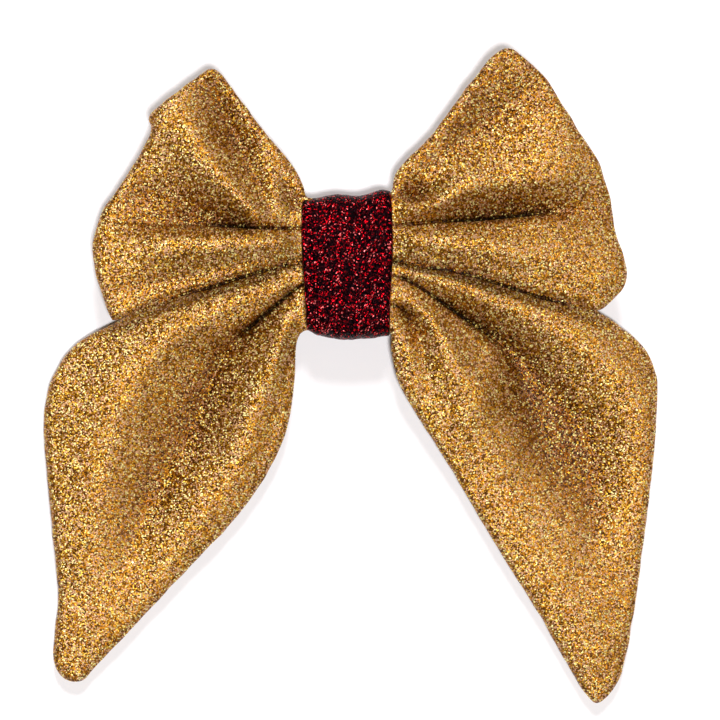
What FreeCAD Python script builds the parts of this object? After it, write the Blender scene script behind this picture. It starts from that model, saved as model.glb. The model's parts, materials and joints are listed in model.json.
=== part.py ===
import FreeCAD, Part
import math
import os
import Sketcher
from FreeCAD import Placement, Rotation, Vector

# Cheer hair bow: two pinched double-layer cloth pieces, the loops in front and the tails behind, held by a
# centre band on a French barrette. It lies face up: +Z is the front, +Y the top of the bow, and the origin
# is on the underside of the barrette's clasp arm, below the middle of the knot. Millimetres.

DRIVING = (
    ("panel_thickness", 0.7),        # one layer of knitted metallic cloth
    ("interlining_thickness", 1.2),  # fusible fleece between two layers
    ("layer_gap", 0.05),
    ("interlining_inset", 2.6),      # the interlining is cut this much smaller than the panels
    ("seam_inset", 1.4),             # the perimeter seam runs this far inside the turned edge
    ("seam_radius", 0.2),
    ("seam_stitch", 3.4),            # from one seam stitch to the next
    ("seam_stitch_gap", 0.5),        # where the thread dives to the other side
    ("loop_bend_x", 30.0),           # where the loops start to flex, either side of the knot
    ("tail_bend_x", 30.0),           # a point on the line where a tail starts to flex
    ("tail_bend_y", 38.0),
    ("tail_angle", 58.9),            # how far each tail points below the horizontal, in degrees
    ("tail_bend_half_gap", 0.7),
    ("loop_bend_half_gap", 0.1),
    ("band_width", 25.4),
    ("band_height", 42.5),
    ("band_thickness", 1.2),
    ("band_floor", 7.1),             # underside of the band's back, above the table
    ("band_crown", 20.5),            # front face of the band
    ("band_corner", 4.4),
    ("overlap_length", 9.5),         # where the band's end is turned over and sewn down
    ("overlap_start", 9.0),
    ("overlap_thickness", 1.0),
    ("overlap_side_room", 0.5),      # the turned-over end is this much narrower at each side
    ("overlap_bite", 0.1),           # how far it runs into the band's back
    ("stitch_radius", 0.25),
    ("stitch_length", 1.8),
    ("stitch_pitch", 2.4),
    ("thread_radius", 0.3),
    ("thread_pitch", 1.0),
    ("thread_half_height", 19.4),
    ("thread_floor", 11.05),
    ("thread_crown", 18.55),
    ("thread_corner", 2.0),
    ("plate_length", 80.0),
    ("plate_width", 10.0),
    ("plate_thickness", 0.7),
    ("plate_peak", 9.2),             # mid-thickness at the middle of the arched plate
    ("plate_radius", 192.0),
    ("sewing_hole_radius", 1.1),
    ("sewing_hole_x", 24.0),
    ("liner_length", 72.0),
    ("liner_width", 9.4),
    ("liner_thickness", 0.5),
    ("glue_length", 20.0),
    ("glue_width", 8.0),
    ("glue_crown", 10.7),
    ("pin_x", 37.0),
    ("pin_height", 2.0),
    ("pin_radius", 0.6),
    ("pin_head_radius", 1.0),
    ("pin_head_thickness", 0.35),
    ("ear_inside", 4.2),             # half the distance between the plate's hinge ears
    ("ear_thickness", 0.6),
    ("ear_radius", 1.6),
    ("running_clearance", 0.05),
    ("clasp_thickness", 0.8),
    ("clasp_width", 7.0),
    ("clasp_reach", 38.5),           # from the knot's middle to the clasp's free end
    ("clasp_step_x", 25.0),
    ("clasp_step_run", 3.0),
    ("clasp_step_rise", 2.0),
    ("clasp_step_bevel", 0.4),
    ("knuckle_radius", 1.5),
    ("knuckle_width", 7.8),
    ("knuckle_slot", 4.2),
    ("strip_end_x", 36.2),           # where the clasp's and the bar's strips run into their eyes
    ("window_start", 31.4),
    ("window_length", 5.2),
    ("window_width", 4.9),
    ("bar_thickness", 0.4),
    ("bar_width", 4.4),
    ("bar_peak", 1.5),
    ("bar_radius", 1330.0),
    ("bar_free_end", 24.0),
    ("bar_eye_radius", 1.15),
    ("bar_eye_width", 3.8),
    ("catch_x", 34.0),
    ("catch_base_length", 5.0),
    ("catch_base_width", 4.8),
    ("catch_base_floor", 4.7),
    ("tongue_length", 4.0),
    ("tongue_root", 4.6),
    ("tongue_inside", 1.7),
    ("tongue_thickness", 0.4),
    ("tongue_tip", 0.7),
    ("barb_depth", 0.7),
    ("barb_height", 1.15),
    ("press_reach", 5.4),            # outer face of each finger pad, from the middle
    ("press_floor", 1.6),
    ("press_ledge", 3.3),
    ("through_all", 40.0),           # longer than any part of the barrette that it cuts
)

# Outlines as cut and pinched, seen from the front. Each runs from the top of its root round to the bottom.
LEFT_LOOP = (
    (-12.9, 19.6), (-16.6, 28.2), (-24.7, 38.8), (-36.3, 54.8), (-39.2, 56.6), (-49.9, 49.8),
    (-56.8, 43.4), (-60.1, 31.5), (-70.2, 15.6), (-73.3, 3.0), (-70.2, -10.0), (-66.4, -15.6),
    (-48.5, -9.6), (-31.1, -3.2), (-12.9, 0.6),
)
RIGHT_LOOP = (
    (12.9, 19.6), (15.2, 27.0), (24.5, 36.4), (43.2, 61.0), (47.0, 62.5), (57.2, 54.7),
    (67.3, 38.8), (75.0, 23.6), (77.0, 10.5), (80.8, -1.5), (79.0, -8.6), (72.5, -12.6),
    (55.7, -7.5), (29.7, -1.8), (12.9, 0.6),
)
LEFT_TAIL = (
    (-12.9, 3.6), (-40.0, 0.0), (-62.0, -9.0), (-76.0, -22.0), (-86.0, -37.0), (-87.6, -50.0),
    (-85.0, -79.9), (-84.2, -104.0), (-84.6, -116.5), (-79.0, -121.3), (-71.0, -116.4),
    (-45.6, -90.0), (-23.0, -60.0), (-14.8, -32.0), (-12.9, -19.6),
)
RIGHT_TAIL = (
    (12.9, 3.6), (40.0, 0.0), (66.0, -9.0), (81.8, -18.5), (89.6, -29.5), (90.4, -39.0),
    (87.0, -79.9), (83.4, -107.0), (78.9, -122.4), (74.0, -127.1), (69.5, -124.5),
    (55.7, -100.7), (31.1, -58.2), (15.4, -31.5), (12.9, -19.6),
)

# Ribs across the cloth's middle surface: the height at each edge, pleat ridge and pleat valley.
# A loop rib stands at a distance from the knot's middle, on either side: (distance, ((y, z), ...)).
LOOP_RIBS = (
    (0.0, ((0.8, 16.6), (5.5, 16.8), (9.8, 14.8), (14.6, 16.8), (19.0, 15.8))),
    (13.0, ((0.2, 16.8), (5.5, 17.2), (10.6, 14.8), (16.0, 17.2), (19.8, 15.8))),
    (30.0, ((-8.0, 15.8), (4.5, 17.4), (11.4, 15.2), (24.0, 17.4), (48.0, 15.0))),
    (60.0, ((-20.0, 14.2), (2.0, 16.8), (12.5, 15.0), (30.0, 16.6), (68.0, 13.6))),
    (92.0, ((-26.0, 13.2), (0.0, 15.4), (14.0, 14.4), (36.0, 15.2), (84.0, 12.2))),
)
# A tail rib runs from the outer edge to the inner: ((outer x, y), (inner x, y), heights at RIB_SHARES).
RIB_SHARES = (0.0, 0.22, 0.42, 0.68, 1.0)
TAIL_RIBS = (
    ((0.0, 4.0), (0.0, -19.0), (12.8, 14.0, 13.2, 14.5, 13.6)),
    ((13.0, 4.0), (13.0, -19.8), (12.7, 13.9, 12.9, 14.4, 13.0)),
    ((84.0, -5.4), (9.0, -50.7), (8.2, 9.8, 8.8, 10.2, 9.2)),
    ((102.0, -47.6), (20.0, -97.1), (5.0, 6.2, 5.3, 6.6, 5.6)),
    ((106.0, -104.0), (50.0, -137.8), (2.3, 2.8, 2.4, 2.8, 2.3)),
    ((112.0, -126.0), (64.0, -155.0), (2.4, 2.6, 2.4, 2.6, 2.4)),
)
RIB_STEPS = 3          # points of each rib's curve, from one height it is given to the next
SEAM_END_ROOM = 0.5    # how far the seam's stitches stop short of a bend
SHEET_ROOM = 60.0      # taller than the whole bow
FAR = 300.0            # beyond every edge of the bow
THREAD_TURNS = 7
STITCH_COUNT = 9
ROUGH_RADIUS = 10.0    # where a sketch's corners stand before their dimensions move them
TINY_VOLUME = 1e-3

doc = FreeCAD.newDocument("CheerHairBow")
sheet = doc.addObject("Spreadsheet::Sheet", "Sizes")
for row, (alias, value) in enumerate(DRIVING, start=1):
    sheet.set(f"A{row}", alias)
    sheet.set(f"B{row}", str(value))
    sheet.setAlias(f"B{row}", alias)
doc.recompute()
nodes = {}


def size(alias):
    return float(sheet.get(alias))


def bind(thing, **expressions):
    """Drives properties from the sheet. Two underscores stand for a dot in a property's path."""
    for path, text in expressions.items():
        thing.setExpression(path.replace("__", "."), text)
    return thing


def keep(name, thing):
    """Makes an object of the document one of the bow's pieces."""
    thing.Label = name
    nodes[name] = thing
    return thing


def keep_shape(name, shape):
    feature = doc.addObject("Part::Feature", name)
    feature.Shape = shape
    return keep(name, feature)


# ---- Soft pieces -------------------------------------------------------------------------------------


def smooth_curve(points):
    curve = Part.BSplineCurve()
    curve.interpolate(points)
    return curve


def spline(points):
    return smooth_curve(points).toShape()


def rib_wire(points, low, high):
    """The thin closed section that a layer has along one rib, from low to high above its middle surface."""
    under = [point + Vector(0, 0, low) for point in points]
    over = [point + Vector(0, 0, high) for point in points]
    return Part.Wire([
        spline(under),
        Part.LineSegment(under[-1], over[-1]).toShape(),
        spline(over[::-1]),
        Part.LineSegment(over[0], under[0]).toShape(),
    ])


def pleated(points):
    """Eases the heights from each ridge to the next valley, so that the pleats stay round."""
    fine = points[:1]
    for start, end in zip(points, points[1:]):
        for step in range(1, RIB_STEPS + 1):
            t = step / RIB_STEPS
            point = start + (end - start) * t
            fine.append(Vector(point.x, point.y, start.z + (end.z - start.z) * t * t * (3 - 2 * t)))
    return fine


def loop_ribs():
    both = [(-x, line) for x, line in LOOP_RIBS[:0:-1]] + list(LOOP_RIBS)
    return [pleated([Vector(x, y, z) for y, z in line]) for x, line in both]


def tail_ribs():
    ribs = []
    for side, chosen in ((-1, TAIL_RIBS[:0:-1]), (1, TAIL_RIBS)):
        for (x0, y0), (x1, y1), heights in chosen:
            ribs.append(pleated([
                Vector(side * (x0 + (x1 - x0) * share), y0 + (y1 - y0) * share, z)
                for share, z in zip(RIB_SHARES, heights)
            ]))
    return ribs


def moved_inwards(points, distance):
    """The points of an anticlockwise edge, each moved squarely away from the edge."""
    curve = smooth_curve(points)
    moved = []
    for point in points:
        along = curve.tangent(curve.parameter(point))[0]
        moved.append(point + Vector(-along.y, along.x, 0) * distance)
    return moved


def outline_face(left, right, inset=0.0):
    """The whole piece laid flat, through the knot, cut smaller all round by the inset."""
    port = moved_inwards([Vector(x, y, -1) for x, y in left], inset)
    starboard = moved_inwards([Vector(x, y, -1) for x, y in right[::-1]], inset)
    return Part.Face(Part.Wire([
        spline(port),
        Part.LineSegment(port[-1], starboard[0]).toShape(),
        spline(starboard),
        Part.LineSegment(starboard[-1], port[0]).toShape(),
    ]))


def prism(face):
    return face.extrude(Vector(0, 0, SHEET_ROOM))


def beyond(x, y, angle, gap):
    """All on the point's side of the bow that is more than gap past it, angle degrees from +X."""
    along = Vector(math.cos(math.radians(angle)), math.sin(math.radians(angle)), 0)
    block = Part.makeBox(FAR, 2 * FAR, 2 * FAR, Vector(0, -FAR, -FAR))
    block.Placement = Placement(Vector(x, y, 0) + along * gap, Rotation(Vector(0, 0, 1), angle))
    corner = Vector(0 if x > 0 else -FAR, -FAR, -FAR)
    return block.common(Part.makeBox(FAR, 2 * FAR, 2 * FAR, corner))


def layers(ribs, left, right):
    """The three layers of a sewn and turned piece, whole: {layer name: solid}."""
    panel, fleece, gap = size("panel_thickness"), size("interlining_thickness"), size("layer_gap")
    top = fleece / 2 + gap

    def cloth(low, high, inset):
        solid = Part.makeLoft([rib_wire(rib, low, high) for rib in ribs], True, False)
        return solid.common(prism(outline_face(left, right, inset)))

    return {
        "front_panel": cloth(top, top + panel, 0.0),
        "interlining": cloth(-fleece / 2, fleece / 2, size("interlining_inset")),
        "back_panel": cloth(-top - panel, -top, 0.0),
    }


def seam_stitches(ribs, left, right, side_of):
    """Straight stitches just inside the turned edge: {side: [solids]}, where 0 is the middle."""
    middle_surface = Part.makeLoft([Part.Wire([spline(rib)]) for rib in ribs], False, False)
    surface = middle_surface.Faces[0].Surface
    seam = outline_face(left, right, size("seam_inset")).OuterWire
    count = round(seam.Length / size("seam_stitch"))
    needle_holes = []
    for hole in seam.discretize(Number=count + 1):
        upright = Part.Line(hole, hole + Vector(0, 0, 1))
        met = upright.intersectCS(surface)[0]
        needle_holes.append(Vector(met[0].X, met[0].Y, met[0].Z) if met else None)
    stitches = {-1: [], 0: [], 1: []}
    for start, end in zip(needle_holes, needle_holes[1:]):
        if start is None or end is None:
            continue
        side = side_of(start)
        if side is None or side != side_of(end):
            continue
        along = (end - start).normalize()
        first = start + along * (size("seam_stitch_gap") / 2)
        length = (end - start).Length - size("seam_stitch_gap")
        stitches[side].append(Part.makeCylinder(size("seam_radius"), length, first, along))
    return stitches


def make_soft_pieces():
    """Each layer runs from one side through the knot to the other. It is split where it flexes."""
    pieces = (
        ("loop", loop_ribs(), LEFT_LOOP, RIGHT_LOOP,
         (size("loop_bend_x"), 0.0, 0.0, size("loop_bend_half_gap"))),
        ("tail", tail_ribs(), LEFT_TAIL, RIGHT_TAIL,
         (size("tail_bend_x"), -size("tail_bend_y"), -size("tail_angle"), size("tail_bend_half_gap"))),
    )
    for piece, ribs, left, right, (x, y, angle, gap) in pieces:
        outwards = Vector(math.cos(math.radians(angle)), math.sin(math.radians(angle)), 0)

        def side_of(point):
            past = (Vector(abs(point.x), point.y, 0) - Vector(x, y, 0)).dot(outwards)
            if abs(past) < gap + SEAM_END_ROOM:
                return None
            return int(math.copysign(1, point.x)) if past > 0 else 0

        right_end, left_end = beyond(x, y, angle, gap), beyond(-x, y, 180 - angle, gap)
        not_right, not_left = beyond(x, y, angle, -gap), beyond(-x, y, 180 - angle, -gap)
        for layer, whole in layers(ribs, left, right).items():
            keep_shape(f"left_{piece}_{layer}", whole.common(left_end))
            keep_shape(f"right_{piece}_{layer}", whole.common(right_end))
            keep_shape(f"{piece}s_{layer}_middle", whole.cut([not_right, not_left]))
        stitches = seam_stitches(ribs, left, right, side_of)
        keep_shape(f"left_{piece}_seam_thread", Part.makeCompound(stitches[-1]))
        keep_shape(f"right_{piece}_seam_thread", Part.makeCompound(stitches[1]))
        keep_shape(f"{piece}s_seam_thread_middle", Part.makeCompound(stitches[0]))


def rounded_ring(half_y, low, high, corner, x):
    """A closed path round the bundle of pleats, in the plane at x."""
    def point(y, z):
        return Vector(x, y, z)

    k = corner * (1 - math.sqrt(0.5))
    edges = []
    for side, (z0, z1) in ((1, (low, high)), (-1, (high, low))):
        step = 1 if z1 > z0 else -1
        y = side * half_y
        edges += [
            Part.Arc(point(y - side * corner, z0), point(y - side * k, z0 + step * k),
                     point(y, z0 + step * corner)).toShape(),
            Part.LineSegment(point(y, z0 + step * corner), point(y, z1 - step * corner)).toShape(),
            Part.Arc(point(y, z1 - step * corner), point(y - side * k, z1 - step * k),
                     point(y - side * corner, z1)).toShape(),
            Part.LineSegment(point(y - side * corner, z1), point(-y + side * corner, z1)).toShape(),
        ]
    return Part.Wire(edges)


def make_gather_thread():
    turns = []
    for turn in range(THREAD_TURNS):
        x = (turn - (THREAD_TURNS - 1) / 2) * size("thread_pitch")
        path = rounded_ring(size("thread_half_height"), size("thread_floor"), size("thread_crown"),
                            size("thread_corner"), x)
        start = path.Edges[1].Vertexes[0].Point
        circle = Part.Wire(Part.Circle(start, Vector(0, 0, 1), size("thread_radius")).toShape())
        turns.append(path.makePipeShell([circle], True, True))
    keep_shape("gather_thread", Part.makeCompound(turns))


# ---- Sketched pieces ---------------------------------------------------------------------------------


def new_sketch(body, role, name):
    sketch = body.newObject("Sketcher::SketchObject", name)
    origin_plane = next(f for f in body.Origin.OriginFeatures if f.Role == role)
    sketch.AttachmentSupport = [(origin_plane, "")]
    sketch.MapMode = "FlatFace"
    return sketch


def pin_point(sketch, geometry, corner, across, up):
    """Fixes one point of the sketch at two expressions from its origin."""
    for kind, text in (("DistanceX", across), ("DistanceY", up)):
        index = sketch.addConstraint(Sketcher.Constraint(kind, -1, 1, geometry, corner, 1.0))
        sketch.setExpression(f"Constraints[{index}]", text)


def polygon(body, role, name, corners):
    """A closed polygon whose corners are pairs of expressions."""
    sketch, count = new_sketch(body, role, name), len(corners)
    turn = 2 * math.pi / count
    ring = [Vector(math.cos(n * turn), math.sin(n * turn), 0) * ROUGH_RADIUS for n in range(count)]
    for n in range(count):
        sketch.addGeometry(Part.LineSegment(ring[n], ring[(n + 1) % count]), False)
    for n in range(count):
        sketch.addConstraint(Sketcher.Constraint("Coincident", n, 2, (n + 1) % count, 1))
    for n, (across, up) in enumerate(corners):
        pin_point(sketch, n, 1, across, up)
    return sketch


def rectangle(body, role, name, x0, x1, y0, y1):
    return polygon(body, role, name, ((x0, y0), (x1, y0), (x1, y1), (x0, y1)))


def circle(body, role, name, across, up, radius):
    sketch = new_sketch(body, role, name)
    sketch.addGeometry(Part.Circle(Vector(1, 1, 0), Vector(0, 0, 1), 1.0), False)
    pin_point(sketch, 0, 3, across, up)
    index = sketch.addConstraint(Sketcher.Constraint("Radius", 0, 1.0))
    sketch.setExpression(f"Constraints[{index}]", radius)
    return sketch


def pad(body, sketch, length):
    feature = body.newObject("PartDesign::Pad", sketch.Name + "_pad")
    feature.Profile = sketch
    feature.Midplane = True
    bind(feature, Length=length)
    doc.recompute()
    return feature


def pocket(body, sketch, length):
    before = body.Shape.Volume
    feature = body.newObject("PartDesign::Pocket", sketch.Name + "_pocket")
    feature.Profile = sketch
    feature.Midplane = True
    bind(feature, Length=length)
    doc.recompute()
    if not body.Shape.Volume < before - TINY_VOLUME:
        raise RuntimeError(f"{feature.Name} cut nothing")
    return feature


def make_centre_band():
    """The burgundy wrap: a flattened ring whose end is turned over on the back."""
    body = doc.addObject("PartDesign::Body", "centre_band")
    wall, half = "Sizes.band_thickness", "Sizes.band_height / 2"

    def rounded(name, inset, corner):
        """A rectangle of lines and quarter arcs, inset from the band's outer face."""
        sketch = new_sketch(body, "YZ_Plane", name)
        x1, z0, z1 = (f"({half} - {inset})", f"(Sizes.band_floor + {inset})",
                      f"(Sizes.band_crown - {inset})")
        offset = size("band_thickness") if inset != "0" else 0
        r, reach = size("band_corner") - offset, size("band_height") / 2 - offset
        low, high = size("band_floor") + offset, size("band_crown") - offset
        centres = ((-reach + r, low + r, 180), (reach - r, low + r, 270),
                   (reach - r, high - r, 0), (-reach + r, high - r, 90))
        for across, up, start in centres:
            full = Part.Circle(Vector(across, up, 0), Vector(0, 0, 1), r)
            sketch.addGeometry(
                Part.ArcOfCircle(full, math.radians(start), math.radians(start + 90)), False)
        arcs = list(sketch.Geometry)
        for n in range(4):
            line = Part.LineSegment(arcs[n].EndPoint, arcs[(n + 1) % 4].StartPoint)
            sketch.addGeometry(line, False)
        for n in range(4):
            sketch.addConstraint(Sketcher.Constraint("Tangent", n, 2, n + 4, 1))
            sketch.addConstraint(Sketcher.Constraint("Tangent", n + 4, 2, (n + 1) % 4, 1))
        sketch.addConstraint(Sketcher.Constraint("Horizontal", 4))
        sketch.addConstraint(Sketcher.Constraint("Vertical", 5))
        driven = [(("Radius", n), r, corner) for n in range(4)]
        driven += [(("DistanceY", -1, 1, 4, 1), low, z0), (("DistanceX", -1, 1, 5, 1), reach, x1),
                   (("DistanceY", -1, 1, 6, 1), high, z1), (("DistanceX", -1, 1, 7, 1), -reach, f"-{x1}")]
        for constraint, value, text in driven:
            index = sketch.addConstraint(Sketcher.Constraint(*constraint, value))
            sketch.setExpression(f"Constraints[{index}]", text)
        doc.recompute()
        return sketch

    pad(body, rounded("wrap", "0", "Sizes.band_corner"), "Sizes.band_width")
    start, end = "-Sizes.overlap_start", "-(Sizes.overlap_start + Sizes.overlap_length)"
    pad(body, rectangle(body, "YZ_Plane", "overlap", start, end,
                        "Sizes.band_floor + Sizes.overlap_bite",
                        "Sizes.band_floor - Sizes.overlap_thickness"),
        "Sizes.band_width - 2 * Sizes.overlap_side_room")
    pocket(body, rounded("inside", wall, f"Sizes.band_corner - {wall}"), "Sizes.through_all")
    keep("centre_band", body)


def make_band_stitches():
    """Whip stitches over the edge where the band's end is turned over."""
    stitches = []
    radius = size("stitch_radius")
    for n in range(STITCH_COUNT):
        x = (n - (STITCH_COUNT - 1) / 2) * size("stitch_pitch")
        start = Vector(x, -size("overlap_start"), size("band_floor") - radius)
        stitches.append(Part.makeCylinder(radius, size("stitch_length"), start, Vector(0, 1, 0)))
    keep_shape("band_closing_stitches", Part.makeCompound(stitches))


def make_clasp_arm():
    """The long sprung strip that swings on the pin and snaps over the catch at its free end."""
    body = doc.addObject("PartDesign::Body", "clasp_arm")
    rise, top = "Sizes.clasp_step_rise", "Sizes.clasp_thickness"
    step, run, bevel = "-Sizes.clasp_step_x", "Sizes.clasp_step_run", "Sizes.clasp_step_bevel"
    hinge_end, tip = "Sizes.strip_end_x", "-Sizes.clasp_reach"
    profile = polygon(body, "XZ_Plane", "strip", (
        (hinge_end, "0"), (hinge_end, top), (f"{step} - {bevel}", top),
        (f"{step} - {run} - {bevel}", f"{rise} + {top}"), (tip, f"{rise} + {top}"), (tip, rise),
        (f"{step} - {run}", rise), (step, "0"),
    ))
    pad(body, profile, "Sizes.clasp_width")
    centre = ("Sizes.pin_x", "Sizes.pin_height")
    pad(body, circle(body, "XZ_Plane", "knuckle", *centre, "Sizes.knuckle_radius"),
        "Sizes.knuckle_width")
    pocket(body, circle(body, "XZ_Plane", "eye_slot", *centre,
                        "Sizes.knuckle_radius + Sizes.running_clearance"), "Sizes.knuckle_slot")
    pocket(body, circle(body, "XZ_Plane", "bore", *centre,
                        "Sizes.pin_radius + Sizes.running_clearance"), "Sizes.through_all")
    pocket(body, rectangle(body, "XY_Plane", "window", "-Sizes.window_start",
                           "-(Sizes.window_start + Sizes.window_length)",
                           "-Sizes.window_width / 2", "Sizes.window_width / 2"),
           "Sizes.through_all")
    keep("clasp_arm", body)


def make_catch_tongue(name, side):
    """One sprung tongue of the catch: a barb that holds the clasp and a finger pad that frees it."""
    body = doc.addObject("PartDesign::Body", name)
    sign = "" if side > 0 else "-"
    inner, outer = "Sizes.tongue_inside", "(Sizes.tongue_inside + Sizes.tongue_thickness)"
    barb, barb_top = f"({outer} + Sizes.barb_depth)", "Sizes.tongue_tip + Sizes.barb_height"
    pad_out, wall = "Sizes.press_reach", "Sizes.tongue_thickness"
    corners = (
        (inner, "Sizes.tongue_tip"), (outer, "Sizes.tongue_tip"), (barb, barb_top),
        (outer, barb_top), (outer, "Sizes.press_ledge"),
        (f"({pad_out} - {wall})", "Sizes.press_ledge"), (f"({pad_out} - {wall})", "Sizes.press_floor"),
        (pad_out, "Sizes.press_floor"), (pad_out, f"Sizes.press_ledge + {wall}"),
        (outer, f"Sizes.press_ledge + {wall}"), (outer, "Sizes.tongue_root"),
        (inner, "Sizes.tongue_root"),
    )
    pad(body, polygon(body, "YZ_Plane", name + "_profile",
                      [(sign + across, up) for across, up in corners]), "Sizes.tongue_length")
    body.Placement = Placement(Vector(-size("catch_x"), 0, 0), Rotation())
    bind(body, Placement__Base__x="-Sizes.catch_x")
    keep(name, body)


# ---- Pieces made from primitives ---------------------------------------------------------------------


def box(name, x0, x1, y0, y1, z0, z1):
    """A box between six expressions."""
    return bind(
        doc.addObject("Part::Box", name), Length=f"({x1}) - ({x0})", Width=f"({y1}) - ({y0})",
        Height=f"({z1}) - ({z0})", Placement__Base__x=x0, Placement__Base__y=y0,
        Placement__Base__z=z0,
    )


def cross_cylinder(name, radius, half_width, x, z):
    """A cylinder along Y, centred on the middle plane."""
    cylinder = doc.addObject("Part::Cylinder", name)
    cylinder.Placement = Placement(Vector(), Rotation(Vector(1, 0, 0), 90))
    return bind(cylinder, Radius=radius, Height=f"2 * ({half_width})", Placement__Base__x=x,
                Placement__Base__y=half_width, Placement__Base__z=z)


def combine(kind, name, base, *tools):
    """Part::Cut, Part::Fuse or Part::Common of a base and one tool after another."""
    for n, tool in enumerate(tools):
        made = doc.addObject(f"Part::{kind}", f"{name}_{n}" if n < len(tools) - 1 else name)
        made.Base, made.Tool = base, tool
        base = made
    return base


def arched_strip(name, radius, thickness, peak, middle_x, half_width, x0, x1):
    """A strip bent to an arc about a Y axis, whose mid-thickness is at height peak over middle_x."""
    centre = f"{peak} - ({radius})"
    outer = cross_cylinder(name + "_outside", f"{radius} + {thickness} / 2", half_width, middle_x,
                           centre)
    inner = cross_cylinder(name + "_inside", f"{radius} - {thickness} / 2", f"{half_width} + 1",
                           middle_x, centre)
    ring = combine("Cut", name + "_ring", outer, inner)
    room = box(name + "_ends", x0, x1, f"-({half_width}) - 1", f"({half_width}) + 1", "0",
               "Sizes.through_all")
    return combine("Common", name + "_strip", ring, room)


def make_barrette_plate():
    """The arched top plate, with two hinge ears and two sewing holes."""
    half = "Sizes.plate_length / 2"
    strip = arched_strip("plate", "Sizes.plate_radius", "Sizes.plate_thickness", "Sizes.plate_peak",
                         "0", "Sizes.plate_width / 2", f"-{half}", half)
    inside, outside = "Sizes.ear_inside", "(Sizes.ear_inside + Sizes.ear_thickness)"
    ears = []
    under = cross_cylinder("plate_middle", "Sizes.plate_radius", "Sizes.plate_width", "0",
                           "Sizes.plate_peak - Sizes.plate_radius")
    for side, low, high in (("upper", inside, outside), ("lower", f"-{outside}", f"-{inside}")):
        drop = box(f"ear_{side}_drop", "Sizes.pin_x - Sizes.ear_radius",
                   "Sizes.pin_x + Sizes.ear_radius", low, high, "Sizes.pin_height",
                   "Sizes.plate_peak")
        foot = doc.addObject("Part::Cylinder", f"ear_{side}_foot")
        foot.Placement = Placement(Vector(), Rotation(Vector(1, 0, 0), 90))
        bind(foot, Radius="Sizes.ear_radius", Height="Sizes.ear_thickness",
             Placement__Base__x="Sizes.pin_x", Placement__Base__y=high,
             Placement__Base__z="Sizes.pin_height")
        tall = combine("Fuse", f"ear_{side}_tall", drop, foot)
        ears.append(combine("Common", f"ear_{side}", tall, under))
    bore = cross_cylinder("pin_bore", "Sizes.pin_radius", "Sizes.plate_width", "Sizes.pin_x",
                          "Sizes.pin_height")
    holes = []
    for side, sign in (("left", "-"), ("right", "")):
        hole = doc.addObject("Part::Cylinder", f"sewing_hole_{side}")
        holes.append(bind(hole, Radius="Sizes.sewing_hole_radius", Height="Sizes.through_all",
                          Placement__Base__x=f"{sign}Sizes.sewing_hole_x"))
    solid = combine("Fuse", "plate_with_ears", strip, *ears)
    keep("barrette_plate", combine("Cut", "barrette_plate", solid, bore, *holes))


def make_plate_liner():
    """The grosgrain ribbon glued along the top of the plate."""
    lift = "(Sizes.plate_thickness + Sizes.liner_thickness) / 2"
    half = "Sizes.liner_length / 2"
    keep("plate_liner", arched_strip(
        "liner", f"(Sizes.plate_radius + {lift})", "Sizes.liner_thickness",
        f"(Sizes.plate_peak + {lift})", "0", "Sizes.liner_width / 2", f"-{half}", half))


def make_glue_pad():
    """The hot-melt glue between the liner and the back of the tails."""
    half_x, half_y = "Sizes.glue_length / 2", "Sizes.glue_width / 2"
    blob = box("glue_blob", f"-{half_x}", half_x, f"-{half_y}", half_y, "Sizes.plate_peak",
               "Sizes.glue_crown")
    top = "(Sizes.plate_radius + Sizes.plate_thickness / 2 + Sizes.liner_thickness)"
    liner_top = cross_cylinder("liner_top", top, "Sizes.plate_width", "0",
                               "Sizes.plate_peak - Sizes.plate_radius")
    keep("glue_pad", combine("Cut", "glue_pad", blob, liner_top))


def make_hinge_pin():
    outside = "(Sizes.ear_inside + Sizes.ear_thickness)"
    place = ("Sizes.pin_x", "Sizes.pin_height")
    shank = cross_cylinder("pin_shank", "Sizes.pin_radius", outside, *place)
    across = cross_cylinder("pin_heads", "Sizes.pin_head_radius",
                            f"{outside} + Sizes.pin_head_thickness", *place)
    between = cross_cylinder("pin_between_heads", "Sizes.pin_head_radius + 1", outside, *place)
    heads = combine("Cut", "pin_two_heads", across, between)
    keep("hinge_pin", combine("Fuse", "hinge_pin", shank, heads))


def make_tension_bar():
    """The loose spring strip under the plate that presses the hair."""
    middle = "(Sizes.pin_x - Sizes.bar_free_end) / 2"
    strip = arched_strip("bar", "Sizes.bar_radius", "Sizes.bar_thickness", "Sizes.bar_peak", middle,
                         "Sizes.bar_width / 2", "-Sizes.bar_free_end", "Sizes.strip_end_x")
    place = ("Sizes.pin_x", "Sizes.pin_height")
    eye = cross_cylinder("bar_eye", "Sizes.bar_eye_radius", "Sizes.bar_eye_width / 2", *place)
    bore = cross_cylinder("bar_bore", "Sizes.pin_radius + Sizes.running_clearance",
                          "Sizes.through_all", *place)
    knuckle_room = "Sizes.knuckle_radius + 3 * Sizes.running_clearance"
    clear = cross_cylinder("bar_beside_eye", knuckle_room, "Sizes.through_all", *place)
    inner = cross_cylinder("bar_eye_room", knuckle_room, "Sizes.bar_eye_width / 2", *place)
    sides = combine("Cut", "bar_knuckle_room", clear, inner)
    keep("tension_bar", combine("Cut", "tension_bar", combine("Fuse", "bar_solid", strip, eye),
                                sides, bore))


def make_catch_base():
    """The block that carries the two tongues, welded under the plate's end."""
    x0 = "-Sizes.catch_x - Sizes.catch_base_length / 2"
    x1 = "-Sizes.catch_x + Sizes.catch_base_length / 2"
    half = "Sizes.catch_base_width / 2"
    block = box("catch_block", x0, x1, f"-{half}", half, "Sizes.catch_base_floor",
                "Sizes.plate_peak")
    under = cross_cylinder("plate_underside", "Sizes.plate_radius - Sizes.plate_thickness / 2",
                           "Sizes.plate_width", "0", "Sizes.plate_peak - Sizes.plate_radius")
    keep("catch_base", combine("Common", "catch_base", block, under))


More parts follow.
